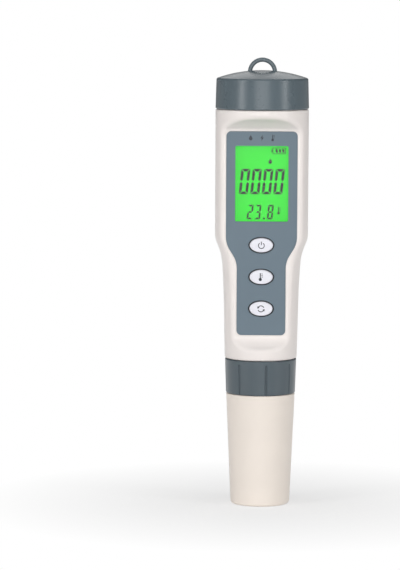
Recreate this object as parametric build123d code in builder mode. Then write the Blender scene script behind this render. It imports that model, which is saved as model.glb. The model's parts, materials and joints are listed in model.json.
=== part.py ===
from build123d import *
import os
from math import asin, atan2, degrees, sqrt

os.makedirs("parts", exist_ok=True)

# A pen-shaped water quality tester, standing on the closed end of its protective cap.
# Millimetres. Z runs up along the pen, the display faces -Y, the origin is the middle of the foot.

# Lengths along the pen, from the foot up
protective_cap_length = 45.8
collar_length = 14.0
housing_length = 101.8
battery_skirt_length = 12.3
shell_gap = 0.2  # shadow line between neighbouring outer shells

# Walls and general clearances
wall = 2.0
cap_floor = 2.0
slip = 0.1  # between pieces that are pushed together
running = 0.2  # between pieces that turn or slide past each other
touch = 0.05  # between pieces that are clamped face to face
past = 3.0  # how far a cutting tool runs beyond the face it opens

# Protective cap
cap_foot_radius = 12.05
cap_mouth_radius = 14.05
cap_bore_radius = 12.0
cap_bore_depth = 13.0
cap_inner_foot_radius = 10.5
cap_foot_round = 1.5
rim_round = 0.4
sponge_height = 5.0
sponge_clearance = 0.5

# Retaining collar
collar_foot_radius = 14.15
collar_top_radius = 14.6
collar_lip = 1.9
thread_room = 0.2  # radial room that the threads take up
groove_count = 8
groove_start_angle = 9.0
groove_radius = 0.55
groove_top_margin = 2.0

# Probe module
plug_radius = 11.8
plug_length = 12.1
flange_radius = 12.6
flange_height = 2.4
spigot_height = 5.6
spigot_radius = 10.75
guard_step_radius = 8.5
guard_step_height = 4.0
guard_outer_radius = 10.0
guard_length = 22.0
guard_slot_width = 6.5
guard_slot_length = 15.5
guard_rim = 3.0
guard_slot_count = 4
cap_seal_section = 0.75
cap_seal_drop = 5.5
module_seal_section = 0.65
module_seal_rise = 3.0
lug_width = 2.6
lug_height = 1.5
lug_thickness = 1.2
lug_count = 2

# What the probe module senses with
glass_radius = 3.0
glass_wall = 0.6
bulb_radius = 3.9
bulb_wall = 0.5
bulb_margin = 1.6  # lowest point of the bulb above the guard's end
glass_sink = 13.0
wire_radius = 0.3
sensor_circle = 5.9
pin_radius = 1.1
pin_reach = 11.0
pin_sink = 6.0
pin_angles = (235.0, 305.0)
thermometer_radius = 1.5
thermometer_reach = 13.0
thermometer_angle = 90.0
junction_radius = 1.0
junction_reach = 0.8
junction_sink = 4.0
junction_angle = 20.0
contact_count = 6
contact_radius = 0.4
contact_circle = 5.5
contact_reach = 4.8
contact_sink = 5.0

# Housing, its outline given as corner points above its lower edge
housing_foot_radius = 14.75
waist_bend_height = 27.8
waist_bend_radius = 15.35
waist_top_height = 42.4
waist_top_radius = 16.13
shoulder_height = 49.0
head_radius = 19.0
waist_bend_curve = 200.0
waist_top_curve = 25.0
shoulder_curve = 9.0
housing_foot_round = 0.9
housing_top_round = 0.7
lower_neck_length = 9.6
neck_bore_radius = 10.9
upper_neck_radius = 17.0
upper_neck_bore = 15.2
upper_neck_length = 9.3

# Flat front of the housing with its scooped ends
facet_offset = 9.5
facet_foot_height = 8.2
facet_top_height = 93.6
facet_blend = 3.5
scoop_run = 6.0
scoop_rise = 4.2
scoop_lip_rise = 1.5
scoop_curve = 18.0
foot_scoop_run = 2.8
foot_scoop_drop = 2.7
foot_lip_drop = 3.8
foot_scoop_curve = 8.0
facet_edge_round = 2.2

# Front panel
panel_thickness = 0.9
panel_foot_height = 10.2
panel_top_height = 93.1
panel_head_width = 28.8
panel_waist_width = 19.8
panel_shoulder_height = 47.4
panel_waist_height = 40.2
panel_curve = 10.0
panel_top_corner = 1.9
panel_foot_corner = 1.9

# Display and its light
display_width = 21.5
display_height = 30.7
display_centre_height = 71.85
display_corner = 0.6
window_flange = 0.8
window_setback = 0.1
lcd_width = 24.6
lcd_height = 34.4
lcd_thickness = 2.2
frame_wall = 0.8
connector_length = 3.6
connector_width = 2.0
backlight_thickness = 2.0

# Keys, bottom one first
key_names = ("mode_key", "temp_key", "power_key")
key_first_height = 21.0
key_pitch = 12.95
key_length = 9.4
key_height = 5.8
ring_length = 10.4
ring_height = 6.6
key_proud = 0.6
key_crown = 0.45
key_flange = 0.9
key_flange_thickness = 0.8
key_boss_radius = 1.5
mat_thickness = 0.85
mat_margin = 1.8
plunger_radius = 1.7
plunger_rise = 0.6
plunger_sink = 0.55
plunger_room = 0.6
switch_width = 6.0
switch_height = 3.35

# Circuit board and what stands on it
board_thickness = 1.6
board_head_width = 29.0
board_waist_width = 21.0
board_top_drop = 4.0
board_shoulder_height = 51.5
board_waist_height = 46.0
rail_grip = 0.6
rail_lip = 1.8
head_rail_length = 40.0
waist_rail_length = 20.0
chip_sizes = ((7.0, 7.0, 1.2), (5.0, 4.0, 1.4), (3.0, 6.0, 1.5), (4.0, 5.0, 1.3))
chip_heights = (30.0, 15.0, 42.0, 62.0)
passive_length = 1.6
passive_width = 0.8
passive_height = 0.6
passive_columns = 2
passive_rows = 7
passive_spacing = (14.0, 4.4)
passive_first_height = 16.0

# Socket that the probe's contacts plug into
socket_flange_radius = 12.0
socket_flange_height = 0.8
socket_depth = 4.0
socket_hole_radius = 0.5

# Batteries, their carrier and the battery cap
cell_radius = 5.8
cell_height = 5.4
cell_count = 3
cell_step = 0.6
cell_step_height = 0.9
tube_wall = 1.25
deck_thickness = 1.5
deck_drop = 2.3
tube_drop = 0.4
leaf_room = 1.1
contact_thickness = 0.3
leaf_width = 4.0
leaf_slot_margin = 0.4
contact_tail = 4.0
finger_width = 3.0
finger_x = 10.5
finger_rise = 1.2
finger_reach = 4.0
leg_width = 2.0
leg_x = 13.2
boss_radius = 2.2
boss_x = 12.2
boss_y = 3.0
boss_height = 7.0
boss_web_sink = 0.4
screw_radius = 0.9
screw_length = 6.0
screw_head_radius = 1.8
screw_head_height = 1.2
gasket_thickness = 0.8
cap_side_radius = 19.05
cap_shoulder_radius = 18.7
cap_top_round = 0.9
dome_radius = 55.0
cap_top_wall = 2.0
plate_thickness = 0.4
plate_radius = 14.2
plate_recess = 0.8
plate_ledge = 4.0
peg_radius = 1.4
loop_outer_radius = 5.95
loop_bar = 1.75
loop_depth = 2.6
loop_sink = 0.8
loop_round = 0.7

# Levels along the pen
collar_base_z = protective_cap_length + shell_gap
collar_top_z = collar_base_z + collar_length
housing_base_z = collar_top_z + shell_gap
housing_top_z = housing_base_z + housing_length
flange_base_z = collar_base_z + collar_lip + slip
flange_top_z = flange_base_z + flange_height
spigot_top_z = flange_top_z + spigot_height
plug_base_z = protective_cap_length - plug_length
guard_base_z = plug_base_z - guard_length
neck_foot_z = housing_base_z - lower_neck_length
cavity_floor_z = housing_base_z + wall
neck_top_z = housing_top_z + upper_neck_length
facet_foot_z = housing_base_z + facet_foot_height
facet_top_z = housing_base_z + facet_top_height
display_z = housing_base_z + display_centre_height
key_levels = [housing_base_z + key_first_height + i * key_pitch for i in range(len(key_names))]
gasket_top_z = neck_top_z + gasket_thickness
cap_ceiling_z = gasket_top_z + touch
plate_ceiling_z = cap_ceiling_z + plate_recess
plate_base_z = plate_ceiling_z - touch - plate_thickness
cells_top_z = plate_base_z - touch
cells_base_z = cells_top_z - cell_count * cell_height
tube_floor_z = cells_base_z - leaf_room
tube_foot_z = tube_floor_z - tube_wall
deck_top_z = neck_top_z - deck_drop
deck_base_z = deck_top_z - deck_thickness
board_top_z = housing_top_z - board_top_drop
cap_base_z = housing_top_z + shell_gap
cap_shoulder_z = cap_base_z + battery_skirt_length

# Depths behind the flat front
lcd_depth = wall + touch
connector_depth = lcd_depth + lcd_thickness
board_depth = connector_depth + connector_length
mat_depth = wall + touch
flange_depth = mat_depth + mat_thickness + touch
switch_depth = board_depth - switch_height
plunger_depth = switch_depth - plunger_rise
board_back_y = board_depth + board_thickness - facet_offset

# Radii that fit one thing to another
collar_bore_radius = flange_radius + running
lower_neck_radius = collar_bore_radius - thread_room
cap_thread_bore = upper_neck_radius + thread_room
tube_bore = cell_radius + slip
tube_radius = tube_bore + tube_wall
tube_y = board_back_y + contact_thickness + running + slip + tube_radius
cap_shoulder_sag = dome_radius - sqrt(dome_radius**2 - cap_shoulder_radius**2)
dome_top_z = cap_shoulder_z + cap_shoulder_sag


def facet_level(depth):
    """Plane parallel to the flat front, at this depth behind it, facing out of the pen."""
    return Plane.XZ.offset(facet_offset - depth)


def profile(points, radii):
    """Closed outline of (radius, height) points, ready to be turned about the pen's axis."""
    with BuildSketch(Plane.XZ) as outline:
        with BuildLine():
            FilletPolyline(*points, radius=radii, close=True)
        make_face()
    return outline.sketch


def panel_outline(depth, grow):
    """Waisted outline of the front panel at a depth, larger by grow all round."""
    head = panel_head_width / 2
    waist = panel_waist_width / 2
    foot_z = housing_base_z + panel_foot_height
    waist_z = housing_base_z + panel_waist_height
    shoulder_z = housing_base_z + panel_shoulder_height
    top_z = housing_base_z + panel_top_height
    right = [(waist, foot_z), (waist, waist_z), (head, shoulder_z), (head, top_z)]
    left = [(-x, z) for x, z in reversed(right)]
    curves = [panel_foot_corner, panel_curve, panel_curve, panel_top_corner]
    with BuildSketch(facet_level(depth)) as outline:
        with BuildLine():
            FilletPolyline(*right, *left, radius=curves + curves[::-1], close=True)
        make_face()
        if grow:
            offset(amount=grow)
    return outline.sketch


def display_outline(depth, grow):
    """Rounded rectangle of the display window at a depth, larger by grow all round."""
    with BuildSketch(facet_level(depth)) as outline:
        with Locations((0, display_z)):
            RectangleRounded(
                display_width + 2 * grow, display_height + 2 * grow, display_corner + max(grow, 0)
            )
    return outline.sketch


def key_ovals(depth, length, height, levels=key_levels):
    """Ovals of the keys at a depth."""
    with BuildSketch(facet_level(depth)) as outline:
        with Locations([(0, z) for z in levels]):
            Ellipse(length / 2, height / 2)
    return outline.sketch


def on_circle(radius, angles):
    """Points on a circle about the pen's axis, in the sketch plane."""
    return [Vector(radius, 0).rotate(Axis.Z, angle) for angle in angles]


# Protective cap: a tapered cup that the probe plugs into
cap_inner_taper_z = protective_cap_length - cap_bore_depth
with BuildPart() as protective_cap:
    revolve(
        profile(
            [
                (0, 0),
                (cap_foot_radius, 0),
                (cap_mouth_radius, protective_cap_length),
                (cap_bore_radius, protective_cap_length),
                (cap_bore_radius, cap_inner_taper_z),
                (cap_inner_foot_radius, cap_floor),
                (0, cap_floor),
            ],
            [0, cap_foot_round, rim_round, rim_round, 0, rim_round, 0],
        ),
        axis=Axis.Z,
    )
protective_cap.part.label = "protective_cap"
export_step(protective_cap.part, "parts/protective_cap.step")

# Wet sponge on the floor of the cap
sponge_radius = cap_inner_foot_radius - sponge_clearance
with BuildPart() as storage_sponge:
    with BuildSketch(Plane.XY.offset(cap_floor)):
        Circle(sponge_radius)
    extrude(amount=sponge_height)
    fillet(storage_sponge.edges().group_by(Axis.Z)[-1], rim_round)
storage_sponge.part.label = "storage_sponge"
export_step(storage_sponge.part, "parts/storage_sponge.step")

# Probe body: plug with its seal groove, flange, spigot with its seal groove, guard step
cap_groove_radius = cap_bore_radius - running / 2 - 2 * cap_seal_section - touch
cap_seal_z = protective_cap_length - cap_seal_drop
cap_groove_half = cap_seal_section + slip
module_groove_radius = neck_bore_radius - touch - 2 * module_seal_section - touch
module_seal_z = flange_top_z + module_seal_rise
module_groove_half = module_seal_section + slip
lug_circle = flange_radius - lug_thickness / 2 - slip
guard_step_z = plug_base_z - guard_step_height
bulb_z = guard_base_z + bulb_margin + bulb_radius
glass_top_z = guard_step_z + glass_sink
with BuildPart() as probe_body:
    revolve(
        profile(
            [
                (0, guard_step_z),
                (guard_step_radius, guard_step_z),
                (guard_step_radius, plug_base_z),
                (plug_radius, plug_base_z),
                (plug_radius, cap_seal_z - cap_groove_half),
                (cap_groove_radius, cap_seal_z - cap_groove_half),
                (cap_groove_radius, cap_seal_z + cap_groove_half),
                (plug_radius, cap_seal_z + cap_groove_half),
                (plug_radius, flange_base_z),
                (flange_radius, flange_base_z),
                (flange_radius, flange_top_z),
                (spigot_radius, flange_top_z),
                (spigot_radius, module_seal_z - module_groove_half),
                (module_groove_radius, module_seal_z - module_groove_half),
                (module_groove_radius, module_seal_z + module_groove_half),
                (spigot_radius, module_seal_z + module_groove_half),
                (spigot_radius, spigot_top_z),
                (0, spigot_top_z),
            ],
            [0, rim_round, 0, rim_round, 0, 0, 0, 0, 0, 0, 0, 0, 0, 0, 0, 0, rim_round, 0],
        ),
        axis=Axis.Z,
    )
    with BuildSketch(Plane.XY.offset(flange_top_z)):
        with PolarLocations(lug_circle, lug_count):
            Rectangle(lug_thickness, lug_width)
    extrude(amount=lug_height)
    with BuildSketch(Plane.XY.offset(guard_step_z)):
        Circle(glass_radius + slip)
    extrude(amount=glass_sink + slip, mode=Mode.SUBTRACT)
    with BuildSketch(Plane.XY.offset(guard_step_z)):
        Circle(wire_radius + slip)
    extrude(amount=spigot_top_z - guard_step_z, mode=Mode.SUBTRACT)
    with BuildSketch(Plane.XY.offset(guard_step_z)):
        with Locations(on_circle(sensor_circle, pin_angles)):
            Circle(pin_radius + touch)
    extrude(amount=pin_sink + slip, mode=Mode.SUBTRACT)
    with BuildSketch(Plane.XY.offset(guard_step_z)):
        with Locations(on_circle(sensor_circle, [thermometer_angle])):
            Circle(thermometer_radius + touch)
    extrude(amount=pin_sink + slip, mode=Mode.SUBTRACT)
    with BuildSketch(Plane.XY.offset(guard_step_z)):
        with Locations(on_circle(sensor_circle, [junction_angle])):
            Circle(junction_radius + touch)
    extrude(amount=junction_sink + slip, mode=Mode.SUBTRACT)
    with BuildSketch(Plane.XY.offset(spigot_top_z - contact_sink - slip)):
        with PolarLocations(contact_circle, contact_count):
            Circle(contact_radius + touch)
    extrude(amount=contact_sink + slip, mode=Mode.SUBTRACT)
probe_body.part.label = "probe_body"
export_step(probe_body.part, "parts/probe_body.step")

# Guard round the sensors, slotted so that water flows through
guard_inner_radius = guard_step_radius + slip
with BuildPart() as probe_guard:
    with BuildSketch(Plane.XY.offset(guard_base_z)):
        Circle(guard_outer_radius)
        Circle(guard_inner_radius, mode=Mode.SUBTRACT)
    extrude(amount=guard_length)
    fillet(probe_guard.edges().group_by(Axis.Z)[0], rim_round)
    for index in range(guard_slot_count):
        slot_plane = Plane.XZ.rotated((0, 0, index * 360 / guard_slot_count))
        with BuildSketch(slot_plane):
            with Locations((0, guard_base_z + guard_rim + guard_slot_length / 2)):
                SlotOverall(guard_slot_length, guard_slot_width, rotation=90)
        extrude(amount=guard_outer_radius + past, mode=Mode.SUBTRACT)
probe_guard.part.label = "probe_guard"
export_step(probe_guard.part, "parts/probe_guard.step")

# Glass tube of the acidity electrode, blown into a thin bulb at its end
bulb_neck_z = bulb_z + sqrt(bulb_radius**2 - glass_radius**2)
bulb_inner_radius = bulb_radius - bulb_wall
glass_inner_radius = glass_radius - glass_wall
bulb_inner_neck_z = bulb_z + sqrt(bulb_inner_radius**2 - glass_inner_radius**2)
with BuildPart() as glass_electrode:
    with BuildSketch(Plane.XZ):
        with BuildLine():
            ThreePointArc(
                (0, bulb_z - bulb_radius), (bulb_radius, bulb_z), (glass_radius, bulb_neck_z)
            )
            Polyline(
                (glass_radius, bulb_neck_z),
                (glass_radius, glass_top_z),
                (glass_inner_radius, glass_top_z),
                (glass_inner_radius, bulb_inner_neck_z),
            )
            ThreePointArc(
                (glass_inner_radius, bulb_inner_neck_z),
                (bulb_inner_radius, bulb_z),
                (0, bulb_z - bulb_inner_radius),
            )
            Line((0, bulb_z - bulb_inner_radius), (0, bulb_z - bulb_radius))
        make_face()
    revolve(axis=Axis.Z)
glass_electrode.part.label = "glass_electrode"
export_step(glass_electrode.part, "parts/glass_electrode.step")

# Silver wire down the middle of the glass tube
with BuildPart() as reference_wire:
    with BuildSketch(Plane.XY.offset(bulb_z)):
        Circle(wire_radius)
    extrude(amount=spigot_top_z - slip - bulb_z)
reference_wire.part.label = "reference_wire"
export_step(reference_wire.part, "parts/reference_wire.step")

# Two conductivity pins
with BuildPart() as conductivity_pins:
    with BuildSketch(Plane.XY.offset(guard_step_z - pin_reach)):
        with Locations(on_circle(sensor_circle, pin_angles)):
            Circle(pin_radius)
    extrude(amount=pin_reach + pin_sink)
    fillet(conductivity_pins.edges().group_by(Axis.Z)[0], rim_round)
conductivity_pins.part.label = "conductivity_pins"
export_step(conductivity_pins.part, "parts/conductivity_pins.step")

# Thermometer: a steel tube with a domed end
with BuildPart() as temperature_probe:
    with BuildSketch(Plane.XY.offset(guard_step_z - thermometer_reach)):
        with Locations(on_circle(sensor_circle, [thermometer_angle])):
            Circle(thermometer_radius)
    extrude(amount=thermometer_reach + pin_sink)
    fillet(temperature_probe.edges().group_by(Axis.Z)[0], thermometer_radius - slip)
temperature_probe.part.label = "temperature_probe"
export_step(temperature_probe.part, "parts/temperature_probe.step")

# Ceramic junction of the reference cell
with BuildPart() as reference_junction:
    with BuildSketch(Plane.XY.offset(guard_step_z - junction_reach)):
        with Locations(on_circle(sensor_circle, [junction_angle])):
            Circle(junction_radius)
    extrude(amount=junction_reach + junction_sink)
reference_junction.part.label = "reference_junction"
export_step(reference_junction.part, "parts/reference_junction.step")

# Gold contacts on top of the probe
with BuildPart() as probe_contacts:
    with BuildSketch(Plane.XY.offset(spigot_top_z - contact_sink)):
        with PolarLocations(contact_circle, contact_count):
            Circle(contact_radius)
    extrude(amount=contact_sink + contact_reach)
    fillet(probe_contacts.edges().group_by(Axis.Z)[-1], contact_radius / 2)
probe_contacts.part.label = "probe_contacts"
export_step(probe_contacts.part, "parts/probe_contacts.step")

# Rubber seal rings: one in the protective cap's bore, one in the housing's neck
with BuildPart() as cap_o_ring:
    with BuildSketch(Plane.XZ):
        with Locations((cap_groove_radius + touch + cap_seal_section, cap_seal_z)):
            Circle(cap_seal_section)
    revolve(axis=Axis.Z)
cap_o_ring.part.label = "cap_o_ring"
export_step(cap_o_ring.part, "parts/cap_o_ring.step")

with BuildPart() as module_o_ring:
    with BuildSketch(Plane.XZ):
        with Locations((module_groove_radius + touch + module_seal_section, module_seal_z)):
            Circle(module_seal_section)
    revolve(axis=Axis.Z)
module_o_ring.part.label = "module_o_ring"
export_step(module_o_ring.part, "parts/module_o_ring.step")

# Retaining collar: a grooved nut that holds the probe's flange against the housing
collar_lip_top_z = collar_base_z + collar_lip
groove_height = collar_length - groove_top_margin
groove_taper = degrees(atan2(collar_top_radius - collar_foot_radius, collar_length))
with BuildPart() as retaining_collar:
    revolve(
        profile(
            [
                (plug_radius + running, collar_base_z),
                (collar_foot_radius, collar_base_z),
                (collar_top_radius, collar_top_z),
                (collar_bore_radius, collar_top_z),
                (collar_bore_radius, collar_lip_top_z),
                (plug_radius + running, collar_lip_top_z),
            ],
            [0, rim_round, rim_round, rim_round, 0, 0],
        ),
        axis=Axis.Z,
    )
    with PolarLocations(collar_foot_radius, groove_count, start_angle=groove_start_angle):
        with Locations(Location((0, 0, collar_base_z), (0, groove_taper, 0))):
            Cylinder(
                groove_radius,
                groove_height,
                align=(Align.CENTER, Align.CENTER, Align.MIN),
                mode=Mode.SUBTRACT,
            )
            with Locations((0, 0, groove_height)):
                Sphere(groove_radius, mode=Mode.SUBTRACT)
retaining_collar.part.label = "retaining_collar"
export_step(retaining_collar.part, "parts/retaining_collar.step")


def housing_corners(inset):
    """Corner points of the housing's side, from its foot to its shoulder, moved in by inset."""
    return [
        (housing_foot_radius - inset, housing_base_z + inset),
        (waist_bend_radius - inset, housing_base_z + waist_bend_height),
        (waist_top_radius - inset, housing_base_z + waist_top_height),
        (head_radius - inset, housing_base_z + shoulder_height),
    ]


def facet_rim(builder):
    """Edges where the flat front and its scoops meet the round side of the housing."""
    rim = ShapeList()
    for edge in builder.edges():
        box = edge.bounding_box()
        if box.max.Y < touch - facet_offset and box.size.Z > touch:
            rim.append(edge)
    return rim


def front_space(grow):
    """Side view of the space in front of the flat, with its scooped ends, larger by grow."""
    with BuildSketch(Plane.YZ) as outline:
        with BuildLine():
            FilletPolyline(
                (-head_radius - past, facet_foot_z - foot_scoop_drop - foot_lip_drop),
                (-facet_offset - foot_scoop_run, facet_foot_z - foot_scoop_drop),
                (-facet_offset, facet_foot_z),
                (-facet_offset, facet_top_z),
                (-facet_offset - scoop_run, facet_top_z + scoop_rise),
                (-head_radius - past, facet_top_z + scoop_rise + scoop_lip_rise),
                radius=[0, foot_scoop_curve, 0, 0, scoop_curve, 0],
                close=True,
            )
        make_face()
        if grow:
            offset(amount=grow, kind=Kind.INTERSECTION)
    return outline.sketch


# Hollow of the housing, kept one wall behind the flat and its scoops
with BuildPart() as housing_hollow:
    revolve(
        profile(
            [
                (0, cavity_floor_z),
                *housing_corners(wall),
                (head_radius - wall, housing_top_z - wall - (head_radius - wall - upper_neck_bore)),
                (upper_neck_bore, housing_top_z - wall),
                (upper_neck_bore, neck_top_z + past),
                (0, neck_top_z + past),
            ],
            [0, 0, waist_bend_curve, waist_top_curve + wall, shoulder_curve - wall, 0, 0, 0, 0],
        ),
        axis=Axis.Z,
    )
    extrude(front_space(wall), amount=head_radius + past, both=True, mode=Mode.SUBTRACT)

# Housing: one round moulding with a flat front, a neck at each end, rails and screw bosses inside
board_front_y = board_depth - facet_offset
board_middle_y = (board_front_y + board_back_y) / 2
rail_depth = board_thickness + 2 * rail_lip
head_rail_x = board_head_width / 2 - rail_grip
waist_rail_x = board_waist_width / 2 - rail_grip
head_rail_reach = head_radius - wall / 2
waist_rail_reach = housing_foot_radius - wall / 2
head_rail_base_z = housing_base_z + board_shoulder_height + wall
waist_rail_base_z = cavity_floor_z + socket_flange_height + running
boss_top_z = deck_base_z - touch
boss_reach = upper_neck_bore + boss_web_sink
with BuildPart() as main_housing:
    revolve(
        profile(
            [
                (0, neck_foot_z),
                (lower_neck_radius, neck_foot_z),
                (lower_neck_radius, housing_base_z),
                *housing_corners(0),
                (head_radius, housing_top_z),
                (upper_neck_radius, housing_top_z),
                (upper_neck_radius, neck_top_z),
                (0, neck_top_z),
            ],
            [
                0,
                rim_round,
                0,
                housing_foot_round,
                waist_bend_curve,
                waist_top_curve,
                shoulder_curve,
                housing_top_round,
                0,
                rim_round,
                0,
            ],
        ),
        axis=Axis.Z,
    )
    extrude(front_space(0), amount=head_radius + past, both=True, mode=Mode.SUBTRACT)
    fillet(main_housing.edges(Select.LAST).filter_by(Axis.X).group_by(Axis.Y)[-1], facet_blend)
    fillet(facet_rim(main_housing), facet_edge_round)
    add(housing_hollow.part, mode=Mode.SUBTRACT)
    with BuildSketch(Plane.XY.offset(neck_foot_z)):
        Circle(neck_bore_radius)
    extrude(amount=cavity_floor_z - neck_foot_z, mode=Mode.SUBTRACT)
    with BuildSketch(Plane.XY.offset(neck_foot_z)):
        with PolarLocations(lug_circle, lug_count):
            Rectangle(lug_thickness + 2 * past, lug_width + 2 * running)
    extrude(amount=lug_height + running, mode=Mode.SUBTRACT)
    for side in (1, -1):
        with BuildSketch(Plane.XY.offset(head_rail_base_z)):
            with Locations((side * (head_rail_x + head_rail_reach) / 2, board_middle_y)):
                Rectangle(head_rail_reach - head_rail_x, rail_depth)
        extrude(amount=head_rail_length)
        with BuildSketch(Plane.XY.offset(waist_rail_base_z)):
            with Locations((side * (waist_rail_x + waist_rail_reach) / 2, board_middle_y)):
                Rectangle(waist_rail_reach - waist_rail_x, rail_depth)
        extrude(amount=waist_rail_length)
        with BuildSketch(Plane.XY.offset(boss_top_z - boss_height)):
            with Locations((side * boss_x, boss_y)):
                Circle(boss_radius)
            with Locations((side * (boss_x + boss_reach) / 2, boss_y)):
                Rectangle(boss_reach - boss_x, 2 * boss_radius)
        extrude(amount=boss_height)
        with BuildSketch(Plane.XY.offset(deck_top_z - screw_length - running)):
            with Locations((side * boss_x, boss_y)):
                Circle(screw_radius + touch)
        extrude(amount=screw_length, mode=Mode.SUBTRACT)
    with BuildSketch(Plane.XY.offset(head_rail_base_z)):
        with Locations((0, board_middle_y)):
            Rectangle(board_head_width + 2 * slip, board_thickness + 2 * slip)
    extrude(amount=head_rail_length, mode=Mode.SUBTRACT)
    with BuildSketch(Plane.XY.offset(waist_rail_base_z)):
        with Locations((0, board_middle_y)):
            Rectangle(board_waist_width + 2 * slip, board_thickness + 2 * slip)
    extrude(amount=waist_rail_length, mode=Mode.SUBTRACT)
    extrude(
        panel_outline(-past, slip), amount=-past - panel_thickness - touch, mode=Mode.SUBTRACT
    )
    extrude(
        display_outline(-past, window_flange + slip), amount=-2 * past - wall, mode=Mode.SUBTRACT
    )
    extrude(
        key_ovals(-past, ring_length + 2 * slip, ring_height + 2 * slip),
        amount=-2 * past - wall,
        mode=Mode.SUBTRACT,
    )
main_housing.part.label = "main_housing"
export_step(main_housing.part, "parts/main_housing.step")

# Front panel: a waisted plate let into the flat, with openings for the display and the keys
with BuildPart() as front_panel:
    extrude(panel_outline(0, 0), amount=-panel_thickness)
    extrude(display_outline(0, 0), amount=-panel_thickness, mode=Mode.SUBTRACT)
    extrude(
        key_ovals(0, ring_length + 2 * slip, ring_height + 2 * slip),
        amount=-panel_thickness,
        mode=Mode.SUBTRACT,
    )
front_panel.part.label = "front_panel"
export_step(front_panel.part, "parts/front_panel.step")

# Clear window, stepped so that the panel holds its flange
flange_front = panel_thickness + touch
with BuildPart() as display_window:
    extrude(display_outline(window_setback, -slip), amount=window_setback - flange_front)
    extrude(display_outline(flange_front, window_flange), amount=flange_front - wall)
display_window.part.label = "display_window"
export_step(display_window.part, "parts/display_window.step")

# Liquid crystal display: two glass plates, the front one shorter at the contact edges
lcd_plate = lcd_thickness / 2
with BuildPart() as lcd_glass:
    with BuildSketch(facet_level(lcd_depth)):
        with Locations((0, display_z)):
            Rectangle(lcd_width, lcd_height - connector_width)
    extrude(amount=-lcd_plate)
    with BuildSketch(facet_level(lcd_depth + lcd_plate)):
        with Locations((0, display_z)):
            Rectangle(lcd_width, lcd_height)
    extrude(amount=-lcd_plate)
lcd_glass.part.label = "lcd_glass"
export_step(lcd_glass.part, "parts/lcd_glass.step")

# Frame that stands on the board and holds the display
with BuildPart() as lcd_frame:
    with BuildSketch(facet_level(lcd_depth)):
        with Locations((0, display_z)):
            Rectangle(lcd_width + 2 * (slip + frame_wall), lcd_height + 2 * (slip + frame_wall))
            Rectangle(lcd_width + 2 * slip, lcd_height + 2 * slip, mode=Mode.SUBTRACT)
    extrude(amount=lcd_depth - board_depth)
lcd_frame.part.label = "lcd_frame"
export_step(lcd_frame.part, "parts/lcd_frame.step")

# Rubber connector strips between the display's edges and the board
strip_offset = (lcd_height - connector_width) / 2
with BuildPart() as connector_strips:
    with BuildSketch(facet_level(connector_depth)):
        with Locations((0, display_z - strip_offset), (0, display_z + strip_offset)):
            Rectangle(lcd_width - 2 * slip, connector_width - slip)
    extrude(amount=-connector_length)
connector_strips.part.label = "connector_strips"
export_step(connector_strips.part, "parts/connector_strips.step")

# Light panel behind the display, between the strips
with BuildPart() as backlight:
    with BuildSketch(facet_level(connector_depth)):
        with Locations((0, display_z)):
            Rectangle(lcd_width - 2 * slip, lcd_height - 2 * connector_width - 2 * running)
    extrude(amount=-backlight_thickness)
backlight.part.label = "backlight"
export_step(backlight.part, "parts/backlight.step")

# Circuit board: wide behind the display, narrow in the waist, standing on the socket
board_foot_z = cavity_floor_z + socket_flange_height + slip
board_right = [
    (board_waist_width / 2, board_foot_z),
    (board_waist_width / 2, housing_base_z + board_waist_height),
    (board_head_width / 2, housing_base_z + board_shoulder_height),
    (board_head_width / 2, board_top_z),
]
with BuildPart() as circuit_board:
    with BuildSketch(facet_level(board_depth)):
        with BuildLine():
            Polyline(*board_right, *[(-x, z) for x, z in reversed(board_right)], close=True)
        make_face()
    extrude(amount=-board_thickness)
circuit_board.part.label = "circuit_board"
export_step(circuit_board.part, "parts/circuit_board.step")

# Chips on the back of the board
board_back_plane = facet_level(board_depth + board_thickness)
with BuildPart() as board_chips:
    for (chip_width, chip_length, chip_height), level in zip(chip_sizes, chip_heights):
        with BuildSketch(board_back_plane):
            with Locations((0, housing_base_z + level)):
                Rectangle(chip_width, chip_length)
        extrude(amount=-chip_height)
board_chips.part.label = "board_chips"
export_step(board_chips.part, "parts/board_chips.step")

# Two columns of small parts beside them
passive_middle_z = housing_base_z + passive_first_height + passive_spacing[1] * (passive_rows - 1) / 2
with BuildPart() as board_passives:
    with BuildSketch(board_back_plane):
        with Locations((0, passive_middle_z)):
            with GridLocations(*passive_spacing, passive_columns, passive_rows):
                Rectangle(passive_length, passive_width)
    extrude(amount=-passive_height)
board_passives.part.label = "board_passives"
export_step(board_passives.part, "parts/board_passives.step")

# Push switches on the front of the board, one behind each key
with BuildPart() as push_switches:
    with BuildSketch(facet_level(switch_depth)):
        with Locations([(0, z) for z in key_levels]):
            Rectangle(switch_width, switch_width)
    extrude(amount=-switch_height)
    with BuildSketch(facet_level(switch_depth)):
        with Locations([(0, z) for z in key_levels]):
            Circle(plunger_radius + slip)
    extrude(amount=-plunger_sink - plunger_room, mode=Mode.SUBTRACT)
push_switches.part.label = "push_switches"
export_step(push_switches.part, "parts/push_switches.step")

# Rubber mat behind the flat, with a raised oval ring round each key
mat_width = ring_length + 2 * mat_margin
mat_height = key_pitch * (len(key_names) - 1) + ring_height + 2 * mat_margin
with BuildPart() as keypad_mat:
    with BuildSketch(facet_level(mat_depth)):
        with Locations((0, (key_levels[0] + key_levels[-1]) / 2)):
            RectangleRounded(mat_width, mat_height, mat_margin)
    extrude(amount=-mat_thickness)
    extrude(key_ovals(0, ring_length, ring_height), amount=-mat_depth)
    extrude(
        key_ovals(0, key_length + 2 * slip, key_height + 2 * slip),
        amount=-mat_depth - mat_thickness,
        mode=Mode.SUBTRACT,
    )
keypad_mat.part.label = "keypad_mat"
export_step(keypad_mat.part, "parts/keypad_mat.step")

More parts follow.
